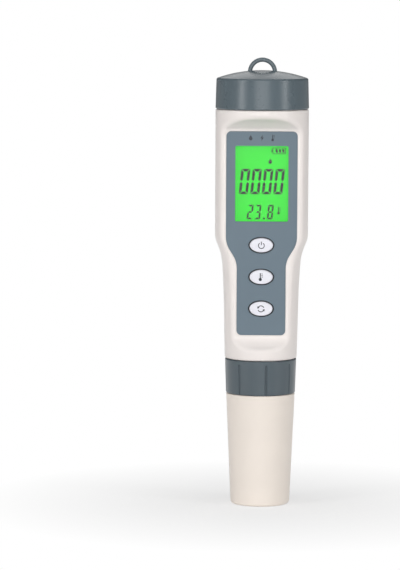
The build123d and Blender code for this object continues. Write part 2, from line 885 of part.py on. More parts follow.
# Keys with their flanges, each with the plunger of its switch
flange_back = flange_depth + key_flange_thickness
for key_name, level in zip(key_names, key_levels):
    with BuildPart() as key:
        extrude(
            key_ovals(-key_proud, key_length, key_height, [level]), amount=-key_proud - flange_back
        )
        fillet(key.faces().sort_by(Axis.Y)[0].edges(), key_crown)
        extrude(
            key_ovals(
                flange_depth, key_length + 2 * key_flange, key_height + 2 * key_flange, [level]
            ),
            amount=-key_flange_thickness,
        )
        extrude(
            key_ovals(flange_back, 2 * key_boss_radius, 2 * key_boss_radius, [level]),
            amount=flange_back + touch - plunger_depth,
        )
    key.part.label = key_name
    export_step(key.part, f"parts/{key_name}.step")
    plunger_name = key_name.replace("key", "plunger")
    with BuildPart() as plunger:
        with BuildSketch(facet_level(plunger_depth)):
            with Locations((0, level)):
                Circle(plunger_radius)
        extrude(amount=-plunger_rise - plunger_sink)
    plunger.part.label = plunger_name
    export_step(plunger.part, f"parts/{plunger_name}.step")

# Socket in the lower neck that the probe's contacts plug into
with BuildPart() as probe_socket:
    with BuildSketch(Plane.XY.offset(cavity_floor_z)):
        Circle(socket_flange_radius)
    extrude(amount=socket_flange_height)
    with BuildSketch(Plane.XY.offset(cavity_floor_z)):
        Circle(neck_bore_radius - slip)
    extrude(amount=-socket_depth)
    with BuildSketch(Plane.XY.offset(cavity_floor_z - socket_depth)):
        with PolarLocations(contact_circle, contact_count):
            Circle(socket_hole_radius)
    extrude(amount=socket_depth, mode=Mode.SUBTRACT)
probe_socket.part.label = "probe_socket"
export_step(probe_socket.part, "parts/probe_socket.step")

# Battery carrier: a deck across the upper neck, a tube for the cells, legs down to the board
tube_top_z = neck_top_z - tube_drop
finger_y = board_back_y + touch + contact_thickness / 2
with BuildPart() as battery_carrier:
    with BuildSketch(Plane.XY.offset(deck_base_z)):
        Circle(upper_neck_bore - slip)
        with Locations((-boss_x, boss_y), (boss_x, boss_y)):
            Circle(screw_radius + slip, mode=Mode.SUBTRACT)
        with Locations((-finger_x, finger_y)):
            Rectangle(
                finger_width + 2 * slip, contact_thickness + 2 * touch, mode=Mode.SUBTRACT
            )
    extrude(amount=deck_thickness)
    with BuildSketch(Plane.XY.offset(tube_foot_z)):
        with Locations((0, tube_y)):
            Circle(tube_radius)
    extrude(amount=tube_top_z - tube_foot_z)
    with BuildSketch(Plane.XY.offset(board_top_z + slip)):
        with Locations((-leg_x, board_middle_y), (leg_x, board_middle_y)):
            Rectangle(leg_width, board_thickness)
    extrude(amount=deck_base_z - board_top_z - slip)
    with BuildSketch(Plane.XY.offset(tube_floor_z)):
        with Locations((0, tube_y)):
            Circle(tube_bore)
    extrude(amount=tube_top_z - tube_floor_z, mode=Mode.SUBTRACT)
    with BuildSketch(Plane.XY.offset(tube_floor_z)):
        with Locations((0, tube_y - tube_radius)):
            Rectangle(leaf_width + 2 * slip, 2 * tube_wall + 2 * leaf_slot_margin)
    extrude(amount=contact_thickness + 2 * slip, mode=Mode.SUBTRACT)
battery_carrier.part.label = "battery_carrier"
export_step(battery_carrier.part, "parts/battery_carrier.step")

# Screws that hold the carrier to the bosses
with BuildPart() as carrier_screws:
    with BuildSketch(Plane.XY.offset(deck_top_z)):
        with Locations((-boss_x, boss_y), (boss_x, boss_y)):
            Circle(screw_head_radius)
    extrude(amount=screw_head_height)
    fillet(carrier_screws.edges().group_by(Axis.Z)[-1], rim_round)
    with BuildSketch(Plane.XY.offset(deck_top_z)):
        with Locations((-boss_x, boss_y), (boss_x, boss_y)):
            Circle(screw_radius)
    extrude(amount=-screw_length)
carrier_screws.part.label = "carrier_screws"
export_step(carrier_screws.part, "parts/carrier_screws.step")

# Button cells, stacked with their narrower poles down
for index in range(cell_count):
    base_z = cells_base_z + index * cell_height
    pole_radius = cell_radius - cell_step
    with BuildPart() as button_cell:
        with BuildSketch(Plane.XY.offset(base_z)):
            with Locations((0, tube_y)):
                Circle(pole_radius)
        extrude(amount=cell_height)
        with BuildSketch(Plane.XY.offset(base_z + cell_step_height)):
            with Locations((0, tube_y)):
                Circle(cell_radius)
        extrude(amount=cell_height - cell_step_height)
        fillet(button_cell.edges().group_by(Axis.Z)[-1], rim_round)
    button_cell.part.label = f"button_cell_{index + 1}"
    export_step(button_cell.part, f"parts/button_cell_{index + 1}.step")

# Leaf contact under the cells, from the board through the tube's wall
leaf_z = tube_floor_z + touch + contact_thickness / 2
with BuildPart() as negative_contact:
    with BuildSketch(Plane.YZ):
        with BuildLine():
            FilletPolyline(
                (finger_y, tube_foot_z - contact_tail),
                (finger_y, leaf_z),
                (tube_y + cell_radius / 2, leaf_z),
                (tube_y - cell_radius / 2, cells_base_z - touch - contact_thickness / 2),
                radius=[contact_thickness, contact_thickness / 2],
            )
        trace(line_width=contact_thickness)
    extrude(amount=leaf_width / 2, both=True)
negative_contact.part.label = "negative_contact"
export_step(negative_contact.part, "parts/negative_contact.step")

# Spring finger from the board through the deck to the plate in the battery cap
with BuildPart() as positive_contact:
    with BuildSketch(Plane.YZ.offset(-finger_x)):
        with BuildLine():
            FilletPolyline(
                (finger_y, tube_foot_z - contact_tail),
                (finger_y, plate_base_z - finger_rise),
                (finger_y - finger_reach, plate_base_z - touch - contact_thickness / 2),
                radius=[contact_thickness],
            )
        trace(line_width=contact_thickness)
    extrude(amount=finger_width / 2, both=True)
positive_contact.part.label = "positive_contact"
export_step(positive_contact.part, "parts/positive_contact.step")

# Gasket on the rim of the upper neck
with BuildPart() as cap_gasket:
    with BuildSketch(Plane.XY.offset(neck_top_z)):
        Circle(upper_neck_radius - slip)
        Circle(upper_neck_bore + slip, mode=Mode.SUBTRACT)
    extrude(amount=gasket_thickness)
cap_gasket.part.label = "cap_gasket"
export_step(cap_gasket.part, "parts/cap_gasket.step")

# Hang loop of the battery cap: half a ring with rounded edges
loop_z = dome_top_z - loop_sink
with BuildPart() as hang_loop:
    with BuildSketch(Plane.XZ):
        with Locations((0, loop_z)):
            Circle(loop_outer_radius)
            Circle(loop_outer_radius - loop_bar, mode=Mode.SUBTRACT)
        with Locations((0, loop_z - loop_outer_radius)):
            Rectangle(2 * loop_outer_radius, 2 * loop_outer_radius, mode=Mode.SUBTRACT)
    extrude(amount=loop_depth / 2, both=True)
    fillet(hang_loop.edges().filter_by(GeomType.CIRCLE), loop_round)

# Battery cap: a screwed cap with a shallow dome, cored out above its contact plate
dome_centre_z = dome_top_z - dome_radius
dome_angle = degrees(asin(cap_shoulder_radius / dome_radius))
core_radius = plate_radius - plate_ledge
with BuildPart() as battery_cap:
    with BuildSketch(Plane.XZ) as cap_outline:
        with BuildLine():
            CenterArc((0, dome_centre_z), dome_radius, 90 - dome_angle, dome_angle)
            Polyline(
                (0, dome_top_z),
                (0, dome_top_z - cap_top_wall),
                (core_radius, dome_top_z - cap_top_wall),
                (core_radius, plate_ceiling_z),
                (plate_radius + slip, plate_ceiling_z),
                (plate_radius + slip, cap_ceiling_z),
                (cap_thread_bore, cap_ceiling_z),
                (cap_thread_bore, cap_base_z),
                (cap_side_radius, cap_base_z),
                (cap_shoulder_radius, cap_shoulder_z),
            )
        make_face()
        corners = cap_outline.vertices()
        fillet(
            corners.sort_by_distance((cap_shoulder_radius, cap_shoulder_z))[0], cap_top_round
        )
    revolve(axis=Axis.Z)
    fillet(battery_cap.edges().group_by(Axis.Z)[0].sort_by(SortBy.RADIUS)[-1], rim_round)
    with BuildSketch(Plane.XY.offset(plate_base_z)):
        Circle(peg_radius)
    extrude(amount=dome_top_z - cap_top_wall - plate_base_z)
    add(hang_loop.part)
battery_cap.part.label = "battery_cap"
export_step(battery_cap.part, "parts/battery_cap.step")

# Contact plate pressed onto the peg in the battery cap
with BuildPart() as cap_contact_plate:
    with BuildSketch(Plane.XY.offset(plate_base_z)):
        Circle(plate_radius)
        Circle(peg_radius + touch, mode=Mode.SUBTRACT)
    extrude(amount=plate_thickness)
cap_contact_plate.part.label = "cap_contact_plate"
export_step(cap_contact_plate.part, "parts/cap_contact_plate.step")
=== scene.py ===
import json
from math import cos, pi, radians, sin, sqrt, tau

import bmesh
import bpy
from mathutils import Matrix, Vector


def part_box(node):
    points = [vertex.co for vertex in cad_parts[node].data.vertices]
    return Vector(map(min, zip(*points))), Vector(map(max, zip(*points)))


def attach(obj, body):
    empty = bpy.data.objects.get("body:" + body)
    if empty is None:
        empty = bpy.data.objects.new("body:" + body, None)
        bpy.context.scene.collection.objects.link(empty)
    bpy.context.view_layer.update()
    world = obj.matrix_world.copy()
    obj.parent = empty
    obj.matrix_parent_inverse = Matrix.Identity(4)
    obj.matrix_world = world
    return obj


# Looks of the water quality tester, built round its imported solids. Metres, Z up, display on -Y.
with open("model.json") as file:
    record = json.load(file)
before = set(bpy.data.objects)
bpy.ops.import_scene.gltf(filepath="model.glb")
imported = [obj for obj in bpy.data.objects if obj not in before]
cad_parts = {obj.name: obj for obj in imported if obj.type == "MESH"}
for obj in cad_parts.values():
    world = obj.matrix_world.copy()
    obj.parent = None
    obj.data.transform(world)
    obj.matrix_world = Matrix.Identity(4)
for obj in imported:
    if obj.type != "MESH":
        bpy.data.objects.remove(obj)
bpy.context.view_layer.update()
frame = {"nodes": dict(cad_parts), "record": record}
MM = 0.001

# Camera: in front of the pen and above its hang loop, turned down and a little aside to frame it
IMAGE_HEIGHT = 570
CAMERA_DISTANCE = 1.382
CAMERA_HEIGHT = 0.22
CAMERA_PITCH = 0.0939
CAMERA_YAW = 0.0181
CAMERA_ROLL = 0.0048
FOCAL_PIXELS = 3391.0
SENSOR = 24.0

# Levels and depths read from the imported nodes
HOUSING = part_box("main_housing")
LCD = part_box("lcd_glass")
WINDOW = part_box("display_window")
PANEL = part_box("front_panel")
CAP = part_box("battery_cap")
FRONT_Y = PANEL[0].y
DISPLAY_Z = (WINDOW[0].z + WINDOW[1].z) / 2


# Materials

SPECKLE_SHARE = 0.15
DARKEST_INPUT = 10  # screen value up to which the colour curve is straight


class Nodes:
    """A material's node tree with short calls for adding and joining nodes."""

    def __init__(self, name):
        self.material = bpy.data.materials.new(name)
        self.material.use_nodes = True
        self.tree = self.material.node_tree
        self.tree.nodes.clear()
        self.output = self.add("ShaderNodeOutputMaterial")
        self.shader = self.add("ShaderNodeBsdfPrincipled")
        self.join(self.shader, "BSDF", self.output, "Surface")
        coordinates = self.add("ShaderNodeTexCoord")
        self.place = (coordinates, "Object")

    def add(self, kind, **settings):
        node = self.tree.nodes.new(kind)
        for key, value in settings.items():
            setattr(node, key, value)
        return node

    def join(self, source, output, target, socket):
        self.tree.links.new(source.outputs[output], target.inputs[socket])

    def set(self, **values):
        for name, value in values.items():
            self.shader.inputs[name.replace("_", " ")].default_value = value

    def mapped(self, scale):
        """The object's own coordinates, in millimetres, stretched by scale."""
        mapping = self.add("ShaderNodeMapping")
        mapping.inputs["Scale"].default_value = [1 / MM * s for s in scale]
        self.join(*self.place, mapping, "Vector")
        return mapping

    def noise(self, scale, detail=2.0, roughness=0.5, stretch=(1, 1, 1), offset=0.0):
        """Noise whose grain is 1/scale millimetres across."""
        noise = self.add("ShaderNodeTexNoise")
        noise.inputs["Scale"].default_value = scale
        noise.inputs["Detail"].default_value = detail
        noise.inputs["Roughness"].default_value = roughness
        mapping = self.mapped(stretch)
        mapping.inputs["Location"].default_value = (offset, offset, offset)
        self.join(mapping, "Vector", noise, "Vector")
        return noise

    def ramp(self, source, output, stops, target, socket):
        """Colours or values along a source, joined to a socket."""
        ramp = self.add("ShaderNodeValToRGB")
        elements = ramp.color_ramp.elements
        while len(elements) < len(stops):
            elements.new(0.5)
        for element, (position, colour) in zip(elements, stops):
            element.position = position
            element.color = grey(colour) if isinstance(colour, float) else (*colour, 1)
        self.join(source, output, ramp, "Fac")
        self.join(ramp, "Color", target, socket)
        return ramp

    def range(self, source, output, low, high, target, socket):
        """A source between 0 and 1 turned into a value between low and high."""
        mapped = self.add("ShaderNodeMapRange")
        mapped.inputs["To Min"].default_value = low
        mapped.inputs["To Max"].default_value = high
        self.join(source, output, mapped, "Value")
        self.join(mapped, "Result", target, socket)
        return mapped

    def bump(self, layers):
        """Stacked bumps, each (texture, output, strength, depth in millimetres)."""
        previous = None
        for source, output, strength, depth in layers:
            bump = self.add("ShaderNodeBump")
            bump.inputs["Strength"].default_value = strength
            bump.inputs["Distance"].default_value = depth * MM
            self.join(source, output, bump, "Height")
            if previous:
                self.join(previous, "Normal", bump, "Normal")
            previous = bump
        self.join(previous, "Normal", self.shader, "Normal")

    def painted_edge_highlight(self, colour_socket_source, light, amount):
        """Painted highlight: mixes a paler colour in where the surface turns sharply, as edges catch the
        light.
        """
        geometry = self.add("ShaderNodeNewGeometry")
        mask = self.add("ShaderNodeMapRange")
        mask.inputs["From Min"].default_value = 0.52
        mask.inputs["From Max"].default_value = 0.62
        mask.inputs["To Max"].default_value = amount
        self.join(geometry, "Pointiness", mask, "Value")
        mix = self.add("ShaderNodeMix", data_type="RGBA")
        self.join(mask, "Result", mix, "Factor")
        self.tree.links.new(colour_socket_source, mix.inputs["A"])
        mix.inputs["B"].default_value = (*light, 1)
        self.tree.links.new(mix.outputs["Result"], self.shader.inputs["Base Color"])


def grey(value):
    """Opaque grey for a ramp."""
    return (value, value, value, 1)


def linear(*rgb):
    """Linear colour from 0 to 255 screen values."""
    return tuple(
        c / 255 / 12.92 if c <= DARKEST_INPUT else ((c / 255 + 0.055) / 1.055) ** 2.4 for c in rgb
    )


def shade(colour, factor):
    """Lighter or darker version of a colour."""
    return tuple(min(1.0, c * factor) for c in colour)


def moulded(name, colour, rough, texture=0.25, grain=3.0, variation=0.04, edge_highlight=0.0):
    """Moulded plastic: slow colour drift, fine spark-eroded grain, and uneven gloss from handling."""
    m = Nodes(name)
    drift = m.noise(0.07, detail=3.0, offset=len(name))
    stops = [(0.3, shade(colour, 1 - variation)), (0.7, shade(colour, 1 + variation))]
    tone = m.ramp(drift, "Fac", stops, m.shader, "Base Color")
    # Sharp edges get a painted highlight: a paler colour mixed into the base colour.
    if edge_highlight:
        m.painted_edge_highlight(tone.outputs["Color"], shade(colour, 1.35), edge_highlight)
    smudges = m.noise(0.16, detail=4.0, roughness=0.6, offset=5.0)
    m.range(smudges, "Fac", rough - 0.05, rough + 0.06, m.shader, "Roughness")
    fine = m.noise(grain, detail=3.0, roughness=0.6)
    flow = m.noise(0.12, detail=1.0, stretch=(1, 1, 0.35))
    m.bump([(flow, "Fac", 0.25, 0.05), (fine, "Fac", texture, 0.012)])
    m.set(IOR=1.49)
    return m.material


def metal(name, colour, rough, stretch):
    """Drawn or turned metal with fine lines along one direction and a few dull spots."""
    m = Nodes(name)
    lines = m.noise(2.5, detail=6.0, roughness=0.7, stretch=stretch)
    spots = m.noise(0.35, detail=2.0)
    m.ramp(spots, "Fac", [(0.35, shade(colour, 0.9)), (0.65, shade(colour, 1.05))], m.shader, "Base Color")
    m.range(lines, "Fac", rough - 0.08, rough + 0.12, m.shader, "Roughness")
    m.bump([(lines, "Fac", 0.3, 0.01)])
    m.set(Metallic=1.0)
    return m.material


def clear(name, colour, alpha, rough=0.03):
    """Clear plastic or glass, see-through, with faint flow waves in its gloss."""
    m = Nodes(name)
    waves = m.noise(0.12, detail=1.0)
    m.range(waves, "Fac", rough, rough + 0.03, m.shader, "Roughness")
    m.ramp(waves, "Fac", [(0.3, shade(colour, 0.97)), (0.7, colour)], m.shader, "Base Color")
    m.bump([(waves, "Fac", 0.1, 0.02)])
    m.set(Alpha=alpha, IOR=1.49)
    return m.material


def lit(name, colour, glow, strength):
    """A lit panel: an even colour with a soft fall-off pattern of its light guide."""
    m = Nodes(name)
    cloud = m.noise(0.09, detail=1.0)
    speckle = m.noise(4.0, detail=1.0)
    mix = m.add("ShaderNodeMix", data_type="FLOAT")
    mix.inputs["Factor"].default_value = SPECKLE_SHARE
    m.join(cloud, "Fac", mix, "A")
    m.join(speckle, "Fac", mix, "B")
    low, high = shade(colour, 0.95), colour
    m.ramp(mix, "Result", [(0.35, low), (0.65, high)], m.shader, "Base Color")
    low, high = shade(glow, 0.96), glow
    m.ramp(mix, "Result", [(0.35, low), (0.65, high)], m.shader, "Emission Color")
    m.set(Emission_Strength=strength, Roughness=0.35)
    return m.material


def ink(name, colour, rough=0.5):
    """Printed ink: nearly flat, with the faint mottle of a pad print."""
    m = Nodes(name)
    mottle = m.noise(3.0, detail=2.0)
    m.ramp(mottle, "Fac", [(0.3, shade(colour, 0.8)), (0.7, shade(colour, 1.2))], m.shader, "Base Color")
    m.range(mottle, "Fac", rough - 0.05, rough + 0.05, m.shader, "Roughness")
    m.bump([(mottle, "Fac", 0.1, 0.004)])
    return m.material


def rubber(name, colour):
    """Soft black rubber with a thin, uneven film of dust."""
    m = Nodes(name)
    dust = m.noise(0.8, detail=5.0, roughness=0.7)
    m.ramp(dust, "Fac", [(0.4, shade(colour, 0.85)), (0.75, shade(colour, 1.5))], m.shader, "Base Color")
    m.range(dust, "Fac", 0.5, 0.68, m.shader, "Roughness")
    fine = m.noise(5.0, detail=2.0)
    m.bump([(fine, "Fac", 0.25, 0.01)])
    m.set(Sheen_Weight=0.1, Sheen_Roughness=0.5)
    return m.material


def foam(name, colour):
    """Open-cell foam: a net of small pores, with painted shade darkening each pore."""
    m = Nodes(name)
    pores = m.add("ShaderNodeTexVoronoi", feature="F1")
    pores.inputs["Scale"].default_value = 1.6
    mapping = m.mapped((1, 1, 1))
    m.join(mapping, "Vector", pores, "Vector")
    # Painted shade: the foam colour goes darker towards the middle of each pore.
    m.ramp(pores, "Distance", [(0.1, shade(colour, 0.35)), (0.45, colour)], m.shader, "Base Color")
    m.bump([(pores, "Distance", 0.9, 0.35)])
    m.set(Roughness=0.9, Sheen_Weight=0.3, Sheen_Roughness=0.6)
    return m.material


def board(name):
    """Circuit board: solder mask over copper tracks that show as paler lines."""
    m = Nodes(name)
    brick = m.add("ShaderNodeTexBrick")
    brick.inputs["Scale"].default_value = 0.45
    brick.inputs["Mortar Size"].default_value = 0.04
    brick.inputs["Color1"].default_value = (0.012, 0.13, 0.045, 1)
    brick.inputs["Color2"].default_value = (0.014, 0.16, 0.055, 1)
    brick.inputs["Mortar"].default_value = (0.03, 0.3, 0.11, 1)
    turned = m.mapped((1, 1, 1))
    turned.inputs["Rotation"].default_value = (pi / 2, 0, 0)
    m.join(turned, "Vector", brick, "Vector")
    m.join(brick, "Color", m.shader, "Base Color")
    m.bump([(brick, "Fac", 0.3, 0.03)])
    m.set(Roughness=0.35)
    return m.material


WHITE = linear(250, 243, 239)
CREAM = linear(250, 240, 230)
GREY = linear(92, 105, 112)
DARK_GREY = linear(84, 96, 103)
PANEL_COLOUR = linear(108, 125, 137)

LOOKS = {
    "body_white": moulded("white_plastic", WHITE, 0.36, variation=0.012),
    "cap_cream": moulded("cream_plastic", CREAM, 0.4, variation=0.015, texture=0.3),
    # The battery cap grey and the collar grey carry a painted highlight on their sharp edges.
    "trim_grey": moulded("grey_plastic", GREY, 0.28, variation=0.04, texture=0.35, edge_highlight=0.25),
    "collar_grey": moulded("dark_grey_plastic", DARK_GREY, 0.3, variation=0.04, texture=0.35, edge_highlight=0.25),
    "panel_blue_grey": moulded("panel_film", PANEL_COLOUR, 0.5, variation=0.02, texture=0.5, grain=5.0),
    "window_clear": clear("clear_window", (0.7, 0.8, 0.7), 0.02),
    "display_green": lit("lit_display", linear(26, 180, 30), linear(36, 236, 40), 0.5),
    "light_panel": lit("light_guide", linear(190, 240, 180), linear(190, 255, 180), 0.4),
    "key_white": moulded("key_plastic", linear(242, 242, 250), 0.32, variation=0.01, grain=5.0),
    "black_rubber": rubber("black_rubber", linear(24, 30, 38)),
    "black_plastic": moulded("black_plastic", (0.02, 0.02, 0.022), 0.45),
    "board_green": board("circuit_board_mask"),
    "small_part": moulded("ceramic_chip_parts", (0.28, 0.2, 0.12), 0.4, grain=6.0),
    "switch_grey": moulded("switch_plastic", (0.03, 0.03, 0.033), 0.45),
    "gold": metal("gold_plating", (0.95, 0.68, 0.28), 0.25, (1, 1, 0.2)),
    "steel": metal("bright_steel", (0.62, 0.62, 0.63), 0.3, (1, 1, 0.08)),
    "cell_steel": metal("nickel_cell", (0.68, 0.67, 0.66), 0.28, (0.15, 0.15, 1)),
    "probe_black": moulded("probe_plastic", (0.025, 0.027, 0.03), 0.38, variation=0.08, texture=0.35),
    "bulb_glass": clear("electrode_glass", (0.85, 0.95, 0.97), 0.3, rough=0.01),
    "sponge": foam("storage_foam", (0.85, 0.72, 0.3)),
    "ceramic": moulded("porous_ceramic", (0.8, 0.78, 0.72), 0.75, texture=0.8, grain=4.0),
    "inner_white": moulded("white_frame_plastic", (0.7, 0.7, 0.68), 0.45),
}
PRINT = ink("dark_print", linear(58, 62, 72))
DISPLAY_INK = ink("liquid_crystal", linear(0, 6, 2), rough=0.3)
DIM_INK = ink("liquid_crystal_faint", linear(10, 105, 20), rough=0.3)

for part in frame["record"]["subparts"]:
    node = frame["nodes"][part["node"]]
    node.data.materials.clear()
    node.data.materials.append(LOOKS[part["material_slot"]])


# Geometry helpers


def prism(bm, outline, to_space, depth):
    """Closed flat outline given as (x, z) points, thickened by depth along its own normal."""
    front = [bm.verts.new(to_space(x, z, 0.0)) for x, z in outline]
    back = [bm.verts.new(to_space(x, z, depth)) for x, z in outline]
    bm.faces.new(front)
    bm.faces.new(back[::-1])
    for i in range(len(front)):
        j = (i + 1) % len(front)
        bm.faces.new((front[j], front[i], back[i], back[j]))


def finish_piece(name, bm, material, body):
    """Visible piece made from the built faces, riding on a body."""
    bmesh.ops.recalc_face_normals(bm, faces=bm.faces)
    mesh = bpy.data.meshes.new(name)
    bm.to_mesh(mesh)
    bm.free()
    piece = bpy.data.objects.new(name, mesh)
    bpy.context.scene.collection.objects.link(piece)
    mesh.materials.append(material)
    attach(piece, body)


# Display: seven-segment figures, a battery mark and two small pictograms

SEGMENTS = {"0": "abcdef", "2": "abged", "3": "abgcd", "8": "abcdefg"}
SLANT = 0.1
PIN_HOLE = 0.01  # inner radius of a dot drawn as a ring

# Width, height, stroke and gap between the bars of a figure, and where the figures start, in millimetres
FIGURE = (3.7, 10.3, 1.08, 0.2)
FIGURE_COUNT = 4
FIGURE_LEFT = -9.35
FIGURE_PITCH = 4.67
FIGURE_BASE = -4.35
SMALL_FIGURE = (2.3, 5.9, 0.7, 0.12)
SMALL_LEFT = -6.1
SMALL_PITCH = 3.15
SMALL_BASE = -14.55
LAST_LEFT = 2.1
POINT_PLACE = (1.0, -14.2)
POINT_RADIUS = 0.4

# Pictograms on the display
DROP_PLACE = (3.4, 8.75)
DROP_SIZE = 0.72
UNIT_PLACE = (6.9, -11.0)
UNIT_HEIGHT = 3.0
UNIT_STROKE = 0.36

# Battery mark: an outline with a pole at its left and slanted bars inside
BATTERY_LEFT = 4.3
BATTERY_RIGHT = 9.7
BATTERY_BASE = 12.15
BATTERY_TOP = 14.45
BATTERY_LINE = 0.28
BATTERY_INSET = 0.15
POLE_X = 4.05
POLE_WIDTH = 0.5
POLE_MARGIN = 0.6
BAR_COUNT = 3
BAR_LEFT = 5.7
BAR_PITCH = 1.35
BAR_WIDTH = 0.85
BAR_LEAN = 0.3
BAR_MARGIN = 0.45
INK_DEPTH = 0.012 * MM
INK_Y = (WINDOW[1].y + LCD[0].y) / 2 - INK_DEPTH / 2


def on_display(x, z, depth):
    """Millimetres on the display, from its middle, to a point in the frame."""
    return Vector((x * MM, INK_Y + depth, DISPLAY_Z + z * MM))


def slanted(points, base):
    """Outline leaning to the right above its base line."""
    return [(x + (z - base) * SLANT, z) for x, z in points]


def digit(bm, character, left, base, width, height, stroke, gap):
    """Slanted seven-segment figure, its bars mitred and set a gap apart."""
    mid = base + height / 2
    top = base + height
    right = left + width
    half = stroke / 2
    inner_left = left + gap + stroke
    inner_right = right - gap - stroke
    upper_end = mid + gap + half
    lower_end = mid - gap - half
    upper_mitre = top - gap - stroke
    lower_mitre = base + gap + stroke
    bars = {
        "a": [
            (left + gap, top), (right - gap, top),
            (inner_right, top - stroke), (inner_left, top - stroke),
        ],
        "d": [
            (left + gap, base), (inner_left, base + stroke),
            (inner_right, base + stroke), (right - gap, base),
        ],
        "f": [
            (left, top - gap), (left + stroke, upper_mitre), (left + stroke, upper_end),
            (left + half, mid + gap), (left, upper_end),
        ],
        "b": [
            (right, top - gap), (right, upper_end), (right - half, mid + gap),
            (right - stroke, upper_end), (right - stroke, upper_mitre),
        ],
        "e": [
            (left, base + gap), (left, lower_end), (left + half, mid - gap),
            (left + stroke, lower_end), (left + stroke, lower_mitre),
        ],
        "c": [
            (right, base + gap), (right - stroke, lower_mitre), (right - stroke, lower_end),
            (right - half, mid - gap), (right, lower_end),
        ],
        "g": [
            (left + gap + half, mid), (inner_left, mid + half), (inner_right, mid + half),
            (right - gap - half, mid), (inner_right, mid - half), (inner_left, mid - half),
        ],
    }
    for bar in SEGMENTS[character]:
        prism(bm, slanted(bars[bar], base), on_display, INK_DEPTH)


def ring(centre, outer, inner, start=0.0, sweep=tau, steps=32):
    """Open or closed ring as an outline of (x, z) points."""
    x, z = centre
    angles = [start + sweep * i / steps for i in range(steps + 1)]
    points = [(x + outer * cos(a), z + outer * sin(a)) for a in angles]
    return points + [(x + inner * cos(a), z + inner * sin(a)) for a in reversed(angles)]


def bar_between(a, b, width):
    """Straight stroke between two points as an outline."""
    ax, az = a
    bx, bz = b
    length = sqrt((bx - ax) ** 2 + (bz - az) ** 2)
    nx, nz = -(bz - az) / length * width / 2, (bx - ax) / length * width / 2
    return [(ax + nx, az + nz), (bx + nx, bz + nz), (bx - nx, bz - nz), (ax - nx, az - nz)]


def drop(centre, size):
    """Solid water drop as an outline."""
    x, z = centre
    points = []
    steps = 24
    for i in range(steps):
        a = tau * i / steps
        pull = max(0.0, sin(a)) ** 3
        points.append((x + size * cos(a) * (1 - 0.55 * pull), z + size * (sin(a) + 0.85 * pull)))
    return points


def thermometer(bm, to_space, depth, centre, height, stroke):
    """Thermometer pictogram: a bulb, a tube and three marks."""
    x, z = centre
    bulb = stroke * 1.5
    base = z - height / 2 + bulb
    outlines = [
        ring((x, base), bulb, PIN_HOLE, steps=24),
        bar_between((x, base), (x, z + height / 2), stroke),
    ]
    for rise in (0.0, 0.2, 0.4):
        level = z + height * rise
        outlines.append(bar_between((x + stroke, level), (x + 2.4 * stroke, level), stroke * 0.6))
    for outline in outlines:
        prism(bm, outline, to_space, depth)


figures = bmesh.new()
for index in range(FIGURE_COUNT):
    digit(figures, "0", FIGURE_LEFT + index * FIGURE_PITCH, FIGURE_BASE, *FIGURE)
for index, character in enumerate("23"):
    digit(figures, character, SMALL_LEFT + index * SMALL_PITCH, SMALL_BASE, *SMALL_FIGURE)
digit(figures, "8", LAST_LEFT, SMALL_BASE, *SMALL_FIGURE)
prism(figures, ring(POINT_PLACE, POINT_RADIUS, PIN_HOLE, steps=16), on_display, INK_DEPTH)
prism(figures, drop(DROP_PLACE, DROP_SIZE), on_display, INK_DEPTH)
thermometer(figures, on_display, INK_DEPTH, UNIT_PLACE, UNIT_HEIGHT, UNIT_STROKE)
bar_base = BATTERY_BASE + BAR_MARGIN
bar_top = BATTERY_TOP - BAR_MARGIN
for index in range(BAR_COUNT):
    x = BAR_LEFT + index * BAR_PITCH
    right = x + BAR_WIDTH
    outline = [(x, bar_base), (right, bar_base), (right - BAR_LEAN, bar_top), (x - BAR_LEAN, bar_top)]
    prism(figures, outline, on_display, INK_DEPTH)
finish_piece("display_figures", figures, DISPLAY_INK, "housing")

battery = bmesh.new()
for z in (BATTERY_BASE, BATTERY_TOP):
    line = bar_between((BATTERY_LEFT, z), (BATTERY_RIGHT, z), BATTERY_LINE)
    prism(battery, line, on_display, INK_DEPTH)
for x in (BATTERY_LEFT + BATTERY_INSET, BATTERY_RIGHT - BATTERY_INSET):
    line = bar_between((x, BATTERY_BASE), (x, BATTERY_TOP), BATTERY_LINE)
    prism(battery, line, on_display, INK_DEPTH)
pole = bar_between((POLE_X, BATTERY_BASE + POLE_MARGIN), (POLE_X, BATTERY_TOP - POLE_MARGIN), POLE_WIDTH)
prism(battery, pole, on_display, INK_DEPTH)
finish_piece("battery_mark", battery, DIM_INK, "housing")


# Printed pictograms: on the keys' crowned faces and on the panel above the display


def key_space(key):
    """Placement of a key's print: x and z in millimetres from the key's middle, on its face."""
    low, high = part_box(key)
    middle = (low.z + high.z) / 2

    def place(x, z, depth):
        return Vector((x * MM, low.y - INK_DEPTH + depth, middle + z * MM))

    return place


STROKE = 0.34
POWER_RADIUS = 1.35
POWER_SINK = 0.1
POWER_GAP_START = radians(125)
POWER_SWEEP = radians(290)
POWER_BAR_TOP = 1.5
KEY_THERMOMETER_X = -0.35
KEY_THERMOMETER_HEIGHT = 3.2
KEY_THERMOMETER_STROKE = 0.42
ARROW_RADIUS = 1.4
ARROW_STARTS = (radians(20), radians(200))
ARROW_SWEEP = radians(125)
ARROW_LENGTH = 0.75
ARROW_HALF = 0.55

power = bmesh.new()
place = key_space("power_key")
arc = ring((0, -POWER_SINK), POWER_RADIUS, POWER_RADIUS - STROKE, POWER_GAP_START, POWER_SWEEP)
prism(power, arc, place, INK_DEPTH)
prism(power, bar_between((0, POWER_SINK), (0, POWER_BAR_TOP), STROKE), place, INK_DEPTH)
finish_piece("power_key_print", power, PRINT, "power_button")

temperature = bmesh.new()
place = key_space("temp_key")
thermometer(
    temperature, place, INK_DEPTH, (KEY_THERMOMETER_X, 0), KEY_THERMOMETER_HEIGHT, KEY_THERMOMETER_STROKE
)
finish_piece("temp_key_print", temperature, PRINT, "temp_button")

